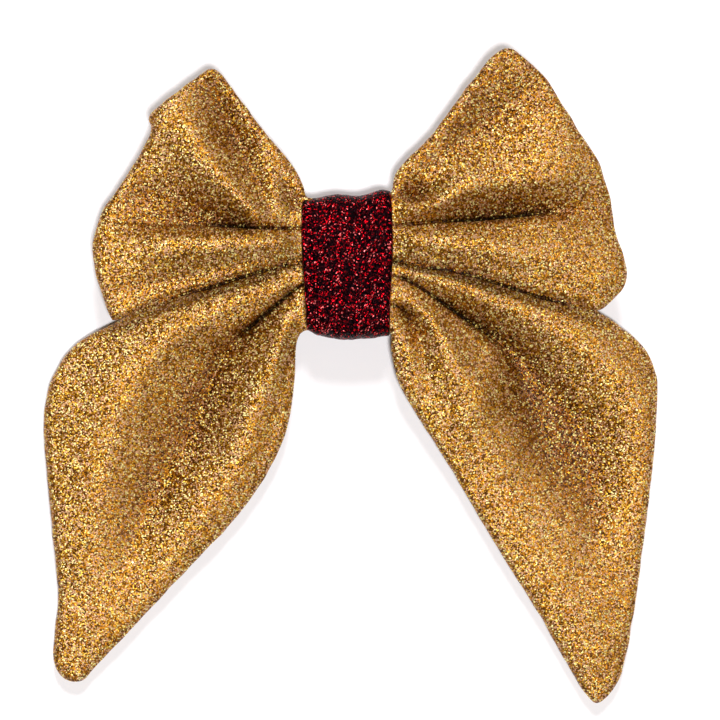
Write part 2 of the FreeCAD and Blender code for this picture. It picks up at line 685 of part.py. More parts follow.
make_soft_pieces()
make_gather_thread()
make_centre_band()
make_band_stitches()
make_barrette_plate()
make_plate_liner()
make_glue_pad()
make_hinge_pin()
make_tension_bar()
make_clasp_arm()
make_catch_base()
make_catch_tongue("catch_tongue_upper", 1)
make_catch_tongue("catch_tongue_lower", -1)
doc.recompute()

failed = [thing.Name for thing in doc.Objects if {"Invalid", "Error"} & set(thing.State)]
if failed:
    raise RuntimeError(f"these objects failed: {failed}")
for name, thing in nodes.items():
    if thing.Shape.isNull() or not thing.Shape.isValid() or thing.Shape.Volume < TINY_VOLUME:
        raise RuntimeError(f"{name} has no valid shape")

os.makedirs("parts", exist_ok=True)
for name, thing in nodes.items():
    thing.Shape.exportStep(f"parts/{name}.step")
    box_mm = thing.Shape.BoundBox
    print(f"{name}: {len(thing.Shape.Solids)} solids, {thing.Shape.Volume:.1f} mm3, "
          f"z {box_mm.ZMin:.2f} to {box_mm.ZMax:.2f}")
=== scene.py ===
"""Looks of the cheer hair bow, lying face up on a pale floor and seen from straight above.

Lengths in the tables below are in millimetres, in the CAD frame: +Z is the bow's front and +Y its top.
Meshes are made in metres.
"""

import json
import math

import bmesh
import bpy
import numpy as np
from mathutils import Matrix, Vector, geometry, noise


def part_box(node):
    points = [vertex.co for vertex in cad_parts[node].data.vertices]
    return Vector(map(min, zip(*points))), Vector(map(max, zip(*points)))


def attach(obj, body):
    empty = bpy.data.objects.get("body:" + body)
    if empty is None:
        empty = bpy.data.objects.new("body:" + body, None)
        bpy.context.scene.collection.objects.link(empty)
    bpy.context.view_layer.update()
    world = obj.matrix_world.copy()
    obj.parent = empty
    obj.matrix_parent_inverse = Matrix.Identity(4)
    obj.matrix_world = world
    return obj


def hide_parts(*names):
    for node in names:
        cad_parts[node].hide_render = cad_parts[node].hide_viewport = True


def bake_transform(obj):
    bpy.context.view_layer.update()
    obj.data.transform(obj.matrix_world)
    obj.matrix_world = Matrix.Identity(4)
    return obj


MM = 0.001
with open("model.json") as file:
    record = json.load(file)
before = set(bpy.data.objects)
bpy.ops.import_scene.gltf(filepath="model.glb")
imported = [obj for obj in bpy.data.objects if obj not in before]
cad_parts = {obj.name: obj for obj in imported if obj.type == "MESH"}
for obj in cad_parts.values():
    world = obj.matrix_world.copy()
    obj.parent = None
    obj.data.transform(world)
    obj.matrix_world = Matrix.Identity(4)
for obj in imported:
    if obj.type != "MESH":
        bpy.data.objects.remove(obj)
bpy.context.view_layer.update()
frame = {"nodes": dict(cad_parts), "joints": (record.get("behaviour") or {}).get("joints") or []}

# ---- The cloth ---------------------------------------------------------------------------------------

# The net of points. Extra rows of them follow the free edge and each valley.
GRID = 1.05            # spacing of the points
EDGE_ROWS = (0.3, 0.8, 1.5, 2.4, 3.4)
CREASE_ROWS = (-1.5, -0.85, -0.5, -0.25, 0.0, 0.25, 0.5, 0.85, 1.5)
FOLD_STEP = 1.5        # how finely a fold's line is followed
ROW_GAP = 0.2          # the least distance between the rim and the first row in from it
INSET_SHARE = 0.93     # a row's points nearer the edge than this share of its inset are dropped
MIDDLE_GAP = 0.2       # and so are those this near the middle of the knot
KNOT_HALF = 12.7       # half the width that the band holds
RELEASE_LENGTH = 7.0   # beyond the band, the cloth comes free of its grip over this length
EDGE_WAVE = 0.3        # small waves of the sewn edge, seen from the front
EDGE_WAVE_LENGTH = 5.0
EDGE_WAVE_START = 13.0
EDGE_WAVE_GROWS_OVER = 8.0
SEAM_INSET = 1.4
SEAM_RADIUS = 0.2
FLEECE_INSET = 2.6
BEND_LENGTH = 26.0     # the stretch that bend_of reads outwards from each arm's hinge; the cloth is not bent over it

# Ridges are round and valleys come to a crease. Where a side of a valley is narrower than
# CREASE_OPENS, it is steep, and the cloth closes on itself along the valley's floor.
RIDGE_POWER = 2.0
VALLEY_POWER = 1.25
CREASE_OPENS = 1.8
CREASE_CLOSES_OVER = 0.7
CREASE_DEPTH = 1.7
CREASE_WIDTH = 0.38
CREASE_POWER = 3
# Painted shade: how dark a closed crease's floor is painted.
PAINTED_CREASE_SHADE = 0.94
CREASE_SHADOW = 0.5    # painted shadow: how dark the cloth beside a closed crease is painted, over this share of the valley's side
CREASE_SHADOW_REACH = 0.3
CREASE_SHADOW_POWER = 1.3
HOLLOW_SHADE = 0.44    # painted shade: how much of its colour a valley HOLLOW_DEPTH deep loses
HOLLOW_DEPTH = 5.0
GRIPPED_RELIEF = 0.3   # the share of each fold's height that is left under the band

# Unevenness of the cloth's middle: (height, size across). The last is a wave of the free edge,
# which fades out inwards.
WRINKLES = ((0.55, 17), (0.22, 7))
EDGE_RIPPLE = (0.6, 6.5)
EDGE_RIPPLE_REACH = 3.5

# Half the cloth's thickness: full beyond a rolled edge, thicker where it is free and full in its middle.
EDGE_ROLL = 2.1
GRIPPED_PUFF = 1.35
FREE_PUFF = 0.35
FULLNESS = 0.9
FULLNESS_REACH = 11.0
BACK_PUFF = 0.8        # the back is a little flatter

# How low it lies: on the floor, which stops it softly, and on the liner of the barrette's plate.
LYING_HEIGHT = 1.3
LYING_SOFTNESS = 0.35
FLOOR_GAP = 0.15
LINER_THICKNESS = 0.5
SEAT_GAP = 0.12        # between the liner and the back cloth
SEAT_FALL = 1.5        # how steeply the cloth comes down beside the liner
INNER_GAP = 0.3        # how far above the back cloth's seat the fleece and the seam are

# The knit's pattern: the back cloth's starts this far from the front's, and each arm's differs.
BACK_PATTERN_SHIFT = 400
ARM_PATTERN_SHIFT = 90

# Each outline runs from the foot of the root, round the free edge, to the top of the root.
LEFT_LOOP = (
    (0, 0.8), (-8, 1.0), (-14, 1.5), (-19.3, 0.6), (-30.4, -2.5), (-39.5, -5.4), (-50, -8.3),
    (-59.6, -12.6), (-66.6, -15.9), (-68.6, -14.6), (-71.1, -7.5), (-73.4, 1.7), (-73.1, 8.4),
    (-70.8, 15.6), (-65.8, 22.9), (-60.1, 31.5), (-56.6, 38.8), (-57.2, 42.0), (-55.4, 44.8),
    (-49.7, 49.2), (-41.7, 55.2), (-39.0, 56.4), (-36.2, 54.8), (-31.5, 48.4), (-24.4, 39.0),
    (-16.1, 29.0), (-12.9, 23.2), (-11.6, 19.6), (-7, 19.2), (0, 19.2),
)
RIGHT_LOOP = (
    (0, 0.8), (8, 1.4), (13.7, 2.0), (23.8, 0.1), (33.4, -1.4), (44.0, -4.5), (55.5, -8.2),
    (63.6, -10.2), (70.5, -12.6), (73.0, -12.9), (76.2, -10.3), (79.5, -6.7), (80.6, -1.7), (79.4, 3.5),
    (77.3, 9.8), (76.7, 15.6), (74.9, 22.8), (71.6, 31.2), (66.7, 38.6), (61.0, 47.8), (56.8, 54.2),
    (50.2, 60.0), (47.0, 62.1), (43.3, 61.3), (37.6, 55.2), (30.1, 45.3), (23.6, 36.8), (17.4, 30.6),
    (13.8, 26.2), (12.2, 20.4), (7, 19.3), (0, 19.2),
)
LEFT_TAIL = (
    (0, -18.6), (-8, -18.8), (-12.6, -19.0), (-14.3, -21.0), (-15.0, -24.4), (-15.4, -33.6),
    (-17.4, -46.4), (-22.1, -58.0), (-31.6, -72.2), (-46.9, -88.6), (-64.4, -107.2), (-73.9, -117.2),
    (-77.8, -121.0), (-82.2, -120.5), (-85.3, -116.2), (-85.6, -108.8), (-84.6, -101.6), (-84.4, -94.4),
    (-85.7, -79.9), (-87.4, -62.5), (-88.5, -45.2), (-86.6, -34.4), (-82.0, -25.9), (-75.3, -20.3),
    (-66.4, -15.9), (-56, -7.6), (-40, 0.0), (-24, 2.6), (-12.9, 3.6), (0, 4.0),
)
RIGHT_TAIL = (
    (0, -18.6), (8, -18.9), (12.4, -19.4), (12.6, -24.0), (13.5, -29.1), (15.0, -34.3), (19.6, -42.6),
    (29.9, -58.9), (43.4, -81.7), (55.4, -100.9), (64.9, -117.6), (70.0, -125.6), (73.5, -127.1),
    (78.1, -122.2), (80.9, -114.4), (83.5, -100.0), (86.2, -79.8), (88.9, -56.7), (90.1, -37.0),
    (89.3, -30.0), (86.3, -24.1), (81.0, -18.9), (72.3, -13.0), (60, -6.0), (42, 0.0), (24, 2.6),
    (12.9, 3.6), (0, 4.0),
)

# A fold is a line over the cloth: (x, y, height, width to its left, width to its right) at each point,
# walking outwards from the band. A ridge's heights are positive and a valley's are negative.
LEFT_LOOP_FOLDS = (
    # The low ridge under the top pinch.
    ((-8, 15.0, 0.6, 2, 2), (-15, 14.4, 0.8, 1.8, 2.2), (-20, 19.5, 1.2, 3, 3), (-26, 29, 0.8, 4, 4)),
    # The pinch beside the band's top corner.
    ((-9, 17.8, -0.8, 2.2, 2.2), (-14.8, 17.6, -4.2, 3.0, 2.6), (-16.8, 20.6, -2.0, 2.6, 2.4),
     (-18.5, 26, -0.3, 2.4, 2.4)),
    # The long crease across the loop.
    ((-8, 10.4, -0.9, 1.4, 1.6), (-17, 10.5, -1.2, 1.4, 1.6), (-26, 10.7, -2.8, 1.15, 2.4),
     (-32, 11.1, -4.9, 1.0, 5.0), (-38, 11.5, -5.3, 1.4, 7.0), (-46, 11.9, -5.2, 1.9, 8.5),
     (-57, 12.1, -3.0, 2.6, 9), (-68, 12.8, -0.8, 6, 9)),
    # The ridge from the long crease to the pointed corner.
    ((-22, 12.6, 0.8, 2.4, 3), (-28, 15.0, 2.6, 3.4, 3.6), (-39.5, 30.0, 3.4, 9, 5),
     (-50, 45.0, 1.6, 10, 7)),
    # The hollow between that ridge and the upper edge.
    ((-22, 17.0, -0.8, 2.4, 2.6), (-27.0, 27.0, -2.8, 4.6, 4), (-32.5, 38.0, -3.4, 7, 6),
     (-38, 50, -2.6, 8, 6)),
    # The ridge below the long crease.
    ((-8, 5.6, 0.8, 2.2, 2.2), (-18, 6.2, 1.9, 3.2, 3.4), (-40, 5.6, 3.2, 5, 5.5),
     (-68, 5.0, 1.2, 9, 7)),
    # The shallow hollow along the lower edge.
    ((-28, 0.5, -0.3, 3, 3), (-40, -2.2, -1.0, 3, 4), (-54, -5.2, -1.7, 4, 5), (-66, -8, -0.9, 5, 5)),
    # A dent near the outer edge.
    ((-52, 22.0, -0.2, 4, 4), (-58, 21.0, -1.4, 5, 5), (-66, 18.0, -0.8, 5, 5)),
)
RIGHT_LOOP_FOLDS = (
    # The low ridge under the top pinch.
    ((8, 17.0, 0.6, 2.5, 2.5), (14.5, 17.2, 0.8, 2.6, 2.6), (19, 17.6, 0.3, 2.6, 2.6)),
    # The pinch beside the band's top corner.
    ((14.5, 20.4, -2.2, 3.0, 2.0), (19.0, 20.2, -4.6, 3.6, 1.9), (24, 21.6, -2.0, 4, 2.4)),
    # The ridge above the long crease.
    ((14, 14.8, 0.8, 2.4, 2.4), (24, 17.2, 2.6, 3.0, 2.6), (38, 22.5, 2.6, 7, 4.0),
     (58, 25.0, 3.2, 13, 6), (70, 27, 1.2, 12, 7)),
    # The broad hollow below the upper edge.
    ((24, 29.0, -1.2, 5, 5), (38, 40.0, -3.2, 9, 9), (52, 50, -2.0, 12, 9)),
    # The long crease across the loop.
    ((8, 11.4, -0.9, 1.6, 1.5), (16, 11.6, -1.3, 1.6, 1.5), (27, 12.6, -2.2, 2.6, 1.4),
     (36, 13.0, -4.0, 4.6, 0.9), (47, 14.0, -4.8, 7, 1.0), (57, 15.2, -3.8, 8, 1.5),
     (66, 15.8, -2.2, 9, 3), (76, 16.2, -1.2, 9, 5)),
    # The ridge below the long crease.
    ((8, 6.9, 0.8, 2.2, 2.2), (18, 7.0, 2.0, 3.2, 3.2), (40, 5.4, 3.2, 5, 6), (74, 0.0, 1.6, 8, 8)),
    # A dent near the outer edge.
    ((68, 14.0, -0.2, 3, 3), (76, 13.0, -1.2, 4, 4)),
)
LEFT_TAIL_FOLDS = (
    # The outer ridge, from the band to the outer edge.
    ((-10, -2.6, 0.5, 2, 2), (-20, -6.4, 1.4, 2.4, 2.4), (-42, -14.0, 3.0, 6, 5), (-58, -26, 3.8, 9, 10),
     (-67, -43, 3.4, 10, 12), (-75, -86, 1.6, 9, 9)),
    # The long valley, closed where it is steep.
    ((-10, -4.6, -0.6, 1.4, 1.0), (-13.4, -5.8, -1.2, 1.6, 0.9), (-17, -8.4, -2.2, 2.0, 0.8),
     (-22.2, -12.6, -3.4, 2.6, 0.8), (-28, -17.4, -4.4, 3.6, 1.0), (-33.6, -22.6, -4.4, 5, 2.4),
     (-38.5, -31, -4.2, 7, 7), (-45, -46, -4.2, 10, 10), (-55, -64, -3.2, 12, 12),
     (-66, -88, -1.4, 12, 12)),
    # The crease under the loop's lower edge.
    ((-10, 1.2, -0.5, 1.2, 3), (-14, 0.7, -0.7, 1.2, 3), (-19.3, -0.3, -0.8, 1.0, 3),
     (-30.4, -3.4, -0.8, 1.0, 4), (-39.5, -6.3, -0.8, 1.1, 4), (-50, -9.1, -0.7, 1.5, 4),
     (-59.6, -13.3, -0.5, 2.0, 4), (-66.4, -16.5, -0.3, 3, 4)),
    # The ridge between the valley and the inner edge.
    ((-10, -11.0, 0.6, 2.6, 2.6), (-17, -17, 2.2, 2.6, 3.6), (-25, -36, 2.6, 5, 6), (-38, -66, 2.4, 7, 9),
     (-70, -104, 1.4, 9, 9)),
    # The shallow hollow beside the inner edge.
    ((-12, -16.5, -0.3, 2, 2), (-16.6, -27, -1.0, 1.8, 1.8), (-18.6, -38, -0.3, 2.4, 2.4)),
)
RIGHT_TAIL_FOLDS = (
    # The outer ridge, from the band to the outer edge.
    ((10, -0.5, 0.4, 2, 2), (24, -3.4, 1.6, 2.6, 2.6), (46, -12, 3.4, 6, 6), (70, -24, 3.6, 10, 9),
     (84, -44, 2.6, 9, 9), (83, -80, 1.2, 9, 9)),
    # The long valley, closed where it is steep.
    ((10, -2.6, -0.6, 1.4, 1.3), (16.6, -4.0, -1.3, 1.6, 1.3), (23.8, -8.2, -2.0, 1.8, 1.2),
     (28.6, -11.6, -3.4, 2.2, 0.9), (34.4, -15.6, -4.8, 3.4, 1.0), (40, -19.2, -5.4, 4.6, 1.3),
     (46, -24.0, -5.6, 6, 2.2), (51.5, -31, -6.0, 8, 6), (57, -40, -6.0, 9, 12),
     (65, -51, -5.8, 9, 15), (71, -64, -3.8, 10, 14), (74, -84, -1.0, 11, 11)),
    # The crease under the loop's lower edge.
    ((10, 1.8, -0.5, 3, 1.0), (13.7, 1.3, -1.0, 3, 1.0), (23.8, -0.7, -1.4, 3, 1.0),
     (33.4, -2.3, -1.8, 4, 1.0), (44, -5.4, -1.8, 4, 1.0), (55.5, -9.1, -1.5, 4, 1.0),
     (63.6, -11.1, -1.2, 4, 1.1), (71.8, -13.6, -0.4, 4, 2.4)),
    # The ridge between the valley and the inner edge.
    ((10, -7.0, 0.6, 2.0, 2.0), (22, -14.0, 2.2, 2.6, 3.0), (30, -27, 2.8, 6, 7),
     (42, -52, 2.0, 12, 9), (52, -74, 1.6, 13, 10), (71, -112, 1.2, 8, 8)),
    # The short pinch below the valley.
    ((12, -11.4, -0.8, 1.4, 1.3), (15.4, -12.4, -2.6, 1.9, 1.5), (17.3, -14.8, -3.8, 2.2, 1.6),
     (19.6, -18.6, -3.2, 2.4, 2.0), (21.9, -24.0, -1.6, 3, 3), (23, -34, -0.6, 4, 4)),
    # The low ridge along the inner edge.
    ((11, -14.6, 0.5, 2.2, 2.2), (15.2, -21, 1.0, 2.6, 2.6), (20, -34, 0.6, 3.6, 3.6)),
)


def smooth_line(points, step):
    """A Catmull-Rom curve through rows of numbers, sampled about every step in x and y."""
    rows = np.array(points, float)
    ends = np.vstack([2 * rows[0] - rows[1], rows, 2 * rows[-1] - rows[-2]])
    out = []
    for n in range(1, len(ends) - 2):
        a, b, c, d = ends[n - 1:n + 3]
        count = max(1, round(float(np.linalg.norm((c - b)[:2])) / step))
        t = (np.arange(count) / count)[:, None]
        out.append(0.5 * (2 * b + (c - a) * t + (2 * a - 5 * b + 4 * c - d) * t ** 2
                          + (3 * b - a - 3 * c + d) * t ** 3))
    out.append(rows[-1:])
    return np.vstack(out)


def left_of(line):
    """Unit vectors to the left of a flat line as it runs, one at each of its points."""
    run = np.gradient(line, axis=0)
    return np.column_stack([-run[:, 1], run[:, 0]]) / np.linalg.norm(run, axis=1)[:, None]


def nearest_on(line, xy):
    """(signed distance, index along the line) of each point's nearest place. Positive is to the left."""
    a, run = line[:-1, :2], np.diff(line[:, :2], axis=0)
    rel = xy[:, None, :] - a[None]
    t = np.clip((rel * run).sum(2) / (run ** 2).sum(1), 0, 1)
    off = rel - t[..., None] * run
    best = (off ** 2).sum(2).argmin(1)
    rows = np.arange(len(xy))
    off, run = off[rows, best], run[best]
    side = np.sign(run[:, 0] * off[:, 1] - run[:, 1] * off[:, 0])
    return np.linalg.norm(off, axis=1) * np.where(side < 0, -1, 1), best + t[rows, best]


def fold_height(xy, folds):
    """(height of all the folds, how much deeper closed creases are, how much shade is painted on and beside
    them, from 0 to 1).
    """
    total, closing, painted_crease_shade = (np.zeros(len(xy)) for _ in range(3))
    for fold in folds:
        line = smooth_line(fold, FOLD_STEP)
        distance, place = nearest_on(line, xy)
        height, left, right = (np.interp(place, np.arange(len(line)), line[:, n]) for n in (2, 3, 4))
        width = np.where(distance > 0, left, right)
        power = RIDGE_POWER if fold[1][2] > 0 else VALLEY_POWER
        total += height * np.exp(-np.abs(distance / width) ** power)
        if fold[1][2] <= 0:
            closed = np.clip((CREASE_OPENS - np.minimum(left, right)) / CREASE_CLOSES_OVER, 0, 1)
            crease = closed * np.exp(-np.abs(distance / CREASE_WIDTH) ** CREASE_POWER)
            closing += CREASE_DEPTH * crease
            # Painted shadow beside a closed crease, and painted shade along its floor.
            beside = np.exp(-np.abs(distance / (CREASE_SHADOW_REACH * width)) ** CREASE_SHADOW_POWER)
            painted_crease_shade = np.maximum(painted_crease_shade, np.maximum(crease, CREASE_SHADOW * closed * beside))
    return total, closing, painted_crease_shade


def ruffle(xy, size, seed):
    """Smooth noise from -1 to 1, size millimetres across."""
    return np.array([noise.noise(Vector((x / size, y / size, seed))) for x, y in xy])


def inside(polygon, xy):
    """Whether each point is in the closed polygon, by counting crossings."""
    x, y = xy[:, 0:1], xy[:, 1:2]
    x0, y0 = polygon[:, 0], polygon[:, 1]
    x1, y1 = np.roll(x0, -1), np.roll(y0, -1)
    crosses = (y0 > y) != (y1 > y)
    rise = np.where(y1 == y0, 1e-9, y1 - y0)
    return (crosses & (x < (x1 - x0) * (y - y0) / rise + x0)).sum(1) % 2 == 1


class Arm:
    """One half of a sewn and turned piece, from the middle of the knot to its free edge."""

    def __init__(self, name, outline, folds, relief, seed, middle_height):
        """The name is also the CAD body's. The relief scales every fold, and the seed is the noise's."""
        self.name, self.folds, self.relief, self.seed = name, folds, relief, seed
        self.middle_height = middle_height
        self.edge = smooth_line(outline, GRID)
        along = np.arange(len(self.edge)) * GRID
        wave = ruffle(np.column_stack([along, 0 * along]), EDGE_WAVE_LENGTH, seed)
        grown = np.clip((np.abs(self.edge[:, 0]) - EDGE_WAVE_START) / EDGE_WAVE_GROWS_OVER, 0, 1)
        self.edge += left_of(self.edge) * (EDGE_WAVE * grown * wave)[:, None]
        self.turn = 1 if np.cross(self.edge[1] - self.edge[0], [0, 1]) > 0 else -1

    def inset_line(self, inset):
        """The free edge, moved into the cloth, without the points that sharp corners bring too near it."""
        line = self.edge + self.turn * inset * left_of(self.edge)
        far_enough = np.abs(nearest_on(self.edge, line)[0]) > INSET_SHARE * inset - 1e-6
        beyond_middle = np.abs(line[:, 0]) > MIDDLE_GAP
        return line[far_enough & beyond_middle]

    def flat_mesh(self, inset=0.0):
        """(points, triangles) of the flat cut, closed along the middle of the knot."""
        rim = self.edge if inset == 0 else self.inset_line(inset)
        rows = [self.inset_line(row) for row in EDGE_ROWS if row > inset + ROW_GAP]
        low, high = self.edge.min(0), self.edge.max(0)
        ys = np.arange(low[1], high[1], GRID * math.sqrt(0.75))
        grid = np.array([(x + (n % 2) * GRID / 2, y) for n, y in enumerate(ys)
                         for x in np.arange(low[0], high[0], GRID)])
        creases, clear = [], np.ones(len(grid), bool)
        for fold in self.folds:
            if fold[1][2] > 0:
                continue
            line = smooth_line(fold, GRID)[:, :2]
            creases += [line + row * left_of(line) for row in CREASE_ROWS]
            clear &= np.abs(nearest_on(line, grid)[0]) > CREASE_ROWS[-1] + GRID * 0.5
        inner = np.vstack([grid[clear]] + creases)
        inner = inner[inside(self.edge, inner)]
        deep = np.abs(nearest_on(self.edge, inner)[0]) > max(EDGE_ROWS[-1], inset) + GRID * 0.5
        points = np.vstack([rim] + rows + [inner[deep]])
        count = len(rim)
        ring = [(n, (n + 1) % count) for n in range(count)]
        verts, _, faces, _, _, _ = geometry.delaunay_2d_cdt(
            [Vector(p) for p in points], ring, [], 1, 1e-4)
        return np.array([v[:] for v in verts]), [list(f) for f in faces]

    def heights(self, xy):
        """(middle surface, depth of closed creases in the front, half thickness, painted shade) of the
        cloth.

        The first three are in millimetres, and the painted shade of valleys and creases is 1 where it is
        darkest.
        """
        depth = np.abs(nearest_on(self.edge, xy)[0])
        out = np.clip((np.abs(xy[:, 0]) - KNOT_HALF) / RELEASE_LENGTH, 0, 1)
        free = out * out * (3 - 2 * out)
        folded, closing, painted_crease_shade = fold_height(xy, self.folds)
        relief = self.relief * (GRIPPED_RELIEF + (1 - GRIPPED_RELIEF) * free)
        middle = self.middle_height(xy) + relief * folded
        # Painted shade: deep valleys and closed creases are painted darker.
        hollow = np.clip((closing - folded) / HOLLOW_DEPTH, 0, 1)
        shade = 1 - (1 - HOLLOW_SHADE * hollow) * (1 - PAINTED_CREASE_SHADE * painted_crease_shade)
        (broad, broad_size), (fine, fine_size) = WRINKLES
        broad_noise, fine_noise = ruffle(xy, broad_size, self.seed), ruffle(xy, fine_size, self.seed + 5)
        middle += free * (broad * broad_noise + fine * fine_noise)
        ripple, ripple_size = EDGE_RIPPLE
        ripple_noise = ruffle(xy, ripple_size, self.seed + 9)
        middle += free * ripple * np.exp(-depth / EDGE_RIPPLE_REACH) * ripple_noise
        roll = np.sqrt(np.clip(1 - (1 - np.minimum(depth / EDGE_ROLL, 1)) ** 2, 0, 1))
        full = FULLNESS * (1 - np.exp(-depth / FULLNESS_REACH))
        puff = GRIPPED_PUFF * roll + free * (FREE_PUFF * roll + full)
        return middle, relief * closing, puff, shade


KNOT_REACH = 13        # the middle surfaces start to change this far from the knot's middle
LOOP_HEIGHT = 16.8     # the loops' middle surface at the knot
LOOP_OPENS_OVER = 10   # the two lifts below grow to their full size over this length
LOOP_CORNER_Y = 22     # the pointed corners rise forwards above this height
LOOP_CORNER_RISE = 0.0125
LOOP_CORNER_POWER = 1.6
LOOP_EDGE_Y = -8       # the lower edges are lifted about this height
LOOP_EDGE_LIFT = 1.3
LOOP_EDGE_SPREAD = 9
LOOP_ARCH = 0.6        # a low arch across each loop, as wide as it is far from the knot
LOOP_ARCH_REACH = 14
LOOP_DROOP = 0.0005    # the ends come down by this times their squared distance
TAIL_HEIGHT = 3.9      # what the tails' middle surface comes down to, and how far it comes down
TAIL_FALL = 9.3
TAIL_FALL_LENGTH = 40
TAIL_ROOT_Y = -8


def loop_middle(xy):
    """The loops' middle surface: nearly level, with the corners and the lower edges lifted forwards."""
    out = np.clip(np.abs(xy[:, 0]) - KNOT_REACH, 0, None)
    opened = 1 - np.exp(-out / LOOP_OPENS_OVER)
    above = np.clip(xy[:, 1] - LOOP_CORNER_Y, 0, None)
    rise = above ** LOOP_CORNER_POWER * LOOP_CORNER_RISE * opened
    lifted = LOOP_EDGE_LIFT * np.exp(-((xy[:, 1] - LOOP_EDGE_Y) / LOOP_EDGE_SPREAD) ** 2) * opened
    arch = LOOP_ARCH * np.exp(-((out - LOOP_ARCH_REACH) / LOOP_ARCH_REACH) ** 2)
    return LOOP_HEIGHT + arch - LOOP_DROOP * out ** 2 + rise + lifted


def tail_middle(xy):
    """The tails' middle surface, which comes down from the knot on every side."""
    out = np.clip(np.hypot(xy[:, 0], xy[:, 1] - TAIL_ROOT_Y) - KNOT_REACH, 0, None)
    return TAIL_HEIGHT + TAIL_FALL * np.exp(-out / TAIL_FALL_LENGTH)


def new_object(name, points, faces, uvs=None, shade=None):
    """A smooth mesh from points and uvs in millimetres."""
    mesh = bpy.data.meshes.new(name)
    mesh.from_pydata([tuple(p) for p in points * MM], [], faces)
    mesh.polygons.foreach_set("use_smooth", [True] * len(mesh.polygons))
    if uvs is not None:
        layer = mesh.uv_layers.new(name="cloth")
        corners = np.empty(len(mesh.loops), int)
        mesh.loops.foreach_get("vertex_index", corners)
        layer.data.foreach_set("uv", (uvs[corners] * MM).ravel())
    # The painted shade of valleys and creases, which the material darkens the colour by.
    if shade is not None:
        mesh.attributes.new("shade", "FLOAT", "POINT").data.foreach_set("value", shade)
    thing = bpy.data.objects.new(name, mesh)
    bpy.context.scene.collection.objects.link(thing)
    return thing


LOOP_RELIEF, TAIL_RELIEF = 1.4, 1.2
ARMS = (
    Arm("left_loop", LEFT_LOOP, LEFT_LOOP_FOLDS, LOOP_RELIEF, 3.0, loop_middle),
    Arm("right_loop", RIGHT_LOOP, RIGHT_LOOP_FOLDS, LOOP_RELIEF, 13.0, loop_middle),
    Arm("left_tail", LEFT_TAIL, LEFT_TAIL_FOLDS, TAIL_RELIEF, 23.0, tail_middle),
    Arm("right_tail", RIGHT_TAIL, RIGHT_TAIL_FOLDS, TAIL_RELIEF, 33.0, tail_middle),
)


def bend_of(arm):
    """(start, end) of a stretch BEND_LENGTH long, read outwards from the arm's CAD hinge."""
    joint = next(j for j in frame["joints"] if j["child"] == arm.name)
    start, axis = Vector(joint["pos_m"]), Vector(joint["axis"])
    outwards = axis.cross(Vector((0, 0, 1)))
    if outwards.dot(start) < 0:
        outwards.negate()
    start.z = 0
    return start, start + outwards.normalized() * BEND_LENGTH * MM


def bend_with_hinge(piece, arm):
    """Bakes the piece's placement into its mesh. The arm's bend is read from its hinge but not used: the
    piece is not bent.
    """
    start, end = bend_of(arm)
    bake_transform(piece)


def lying(z):
    """Heights of a middle surface, kept softly above LYING_HEIGHT."""
    return LYING_SOFTNESS * np.logaddexp(z / LYING_SOFTNESS, LYING_HEIGHT / LYING_SOFTNESS)


def liner_arch():
    """(half length, half width, radius, top) of the grosgrain liner on the barrette's arch."""
    low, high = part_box("plate_liner")
    half, width, top = high.x / MM, high.y / MM, high.z / MM
    sagitta = top - low.z / MM - LINER_THICKNESS
    return half, width, half ** 2 / (2 * sagitta), top


def seat_height(xy):
    """The height that cloth rests on over the liner. It falls away beside the liner."""
    half, width, radius, top = liner_arch()
    x, y = np.abs(xy).T
    crown = top - (radius - np.sqrt(radius ** 2 - np.minimum(x, half) ** 2))
    return crown + SEAT_GAP - SEAT_FALL * (np.clip(x - half, 0, None) + np.clip(y - width, 0, None))


def between_cloths(arm, xy):
    """The points at xy on the surface half way between the front and the back cloth."""
    middle, closing = arm.heights(xy)[:2]
    return np.column_stack([xy, np.maximum(lying(middle - closing / 2), seat_height(xy) + INNER_GAP)])


def make_cloth(arm, gold, fleece, thread):
    """The front and back cloth, the fleece between them and the seam just inside the edge."""
    kind = "loops" if arm.name.endswith("loop") else "tails"
    points, faces = arm.flat_mesh()
    middle, closing, puff, shade = arm.heights(points)
    backwards = [f[::-1] for f in faces]
    front = np.maximum(lying(middle - closing) + puff, FLOOR_GAP)
    back = np.maximum(lying(middle) - BACK_PUFF * puff, FLOOR_GAP)
    back = np.maximum(back, seat_height(points))
    for side, z, order, sign, shift in (("front", front, faces, 1, 0),
                                        ("back", back, backwards, -1, BACK_PATTERN_SHIFT)):
        uvs = points * (sign, 1) + (shift, ARM_PATTERN_SHIFT * arm.seed)
        piece = new_object(f"{arm.name}_{side}_cloth", np.column_stack([points, z]), order, uvs, shade)
        piece.data.materials.append(gold)
        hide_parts(f"{arm.name}_{side}_panel", f"{kind}_{side}_panel_middle")
        bend_with_hinge(piece, arm)
    points, faces = arm.flat_mesh(FLEECE_INSET)
    piece = new_object(f"{arm.name}_fleece", between_cloths(arm, points), faces)
    piece.data.materials.append(fleece)
    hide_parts(f"{arm.name}_interlining", f"{kind}_interlining_middle")
    bend_with_hinge(piece, arm)
    seam = between_cloths(arm, arm.inset_line(SEAM_INSET)[::2])
    piece = tube(f"{arm.name}_seam", seam, SEAM_RADIUS, 6)
    piece.data.materials.append(thread)
    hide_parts(f"{arm.name}_seam_thread", f"{kind}_seam_thread_middle")
    bend_with_hinge(piece, arm)


